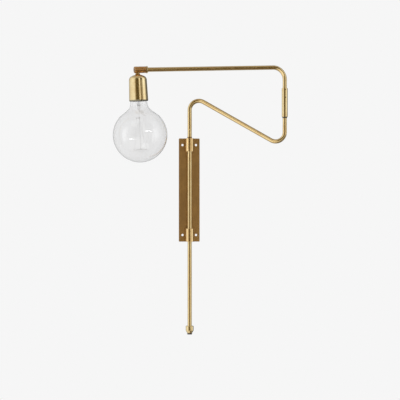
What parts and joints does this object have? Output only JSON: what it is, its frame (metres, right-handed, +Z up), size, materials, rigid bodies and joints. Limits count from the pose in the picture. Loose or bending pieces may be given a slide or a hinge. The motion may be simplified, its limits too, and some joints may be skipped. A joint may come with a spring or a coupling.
{
  "type": "swing arm wall lamp",
  "caption": "Brass wall lamp: plate with two bushings, bent lower arm that swings, folding upper arm, and a turning bell holder with a clear globe bulb.",
  "frame": {"origin": "centre of the wall plate's back face", "axes": "+Z up along the rod, +X to the right as the viewer sees it, +Y into the wall; viewer on -Y"},
  "size_m": [0.4165, 0.1417, 0.6334],
  "materials": {
    "brass": "satin polished",
    "plate_brass": "fine brushed, darker",
    "dark_brass": "satin, darkened",
    "shell_brass": "bright stamped",
    "zinc_steel": "zinc plated",
    "spring_steel": "blued",
    "black_steel": "black oxide",
    "white_nylon": "natural nylon",
    "black_nylon": "matt",
    "black_rubber": "matt",
    "porcelain": "glazed",
    "solder": "dull solder",
    "black_glass": "glossy vitrite",
    "cap_nickel": "nickel plated",
    "wire_nickel": "drawn wire",
    "filament_carbon": "fine wire",
    "clear_glass": "clear blown"
  },
  "bodies": {
    "bracket": {"wall_plate": "plate_brass", "back_screws": "zinc_steel", "upper_bushing": "brass", "lower_bushing": "brass", "upper_liner": "white_nylon", "upper_bush": "dark_brass", "lower_liner": "white_nylon"},
    "lower_arm": {"lower_arm_tube": "brass", "rod_snap_ring": "spring_steel", "gland_body": "brass", "gland_grub_screw": "black_steel", "gland_bush": "black_rubber"},
    "upper_arm": {"elbow_sleeve": "brass", "elbow_grub_screws": "black_steel", "elbow_liner": "black_nylon", "elbow_thrust_disc": "white_nylon", "upper_arm_tube": "brass", "arm_snap_ring": "spring_steel", "friction_washer": "black_nylon", "arm_collar": "brass"},
    "holder": {"swivel_barrel": "brass", "barrel_cap": "dark_brass", "stem_nipple": "zinc_steel", "stem_collar": "brass", "holder_cup": "brass", "cup_nut": "zinc_steel", "lampholder_body": "porcelain", "screw_shell": "shell_brass", "centre_contact": "shell_brass", "terminal_screws": "zinc_steel", "bulb_contact": "solder", "bulb_insulator": "black_glass", "bulb_cap": "cap_nickel", "bulb_glass": "clear_glass", "glass_stem": "clear_glass", "glass_rod": "clear_glass", "support_wires": "wire_nickel", "lead_wires": "wire_nickel", "filament": "filament_carbon"}
  },
  "joints": [
    {"name": "arm_swing", "type": "hinge", "parent": "bracket", "child": "lower_arm", "pos_m": [0, -0.01175, 0], "axis": [0, 0, -1], "range_deg": [0, 180]},
    {"name": "elbow_turn", "type": "hinge", "parent": "lower_arm", "child": "upper_arm", "pos_m": [0.226, -0.01175, 0.207], "axis": [0, 0, 1], "range_deg": [-1, 339]},
    {"name": "holder_turn", "type": "hinge", "parent": "upper_arm", "child": "holder", "pos_m": [-0.12708, -0.08038, 0.27532], "axis": [0.9808, 0.1906, 0.0419], "range_deg": [-90, 90]}
  ]
}
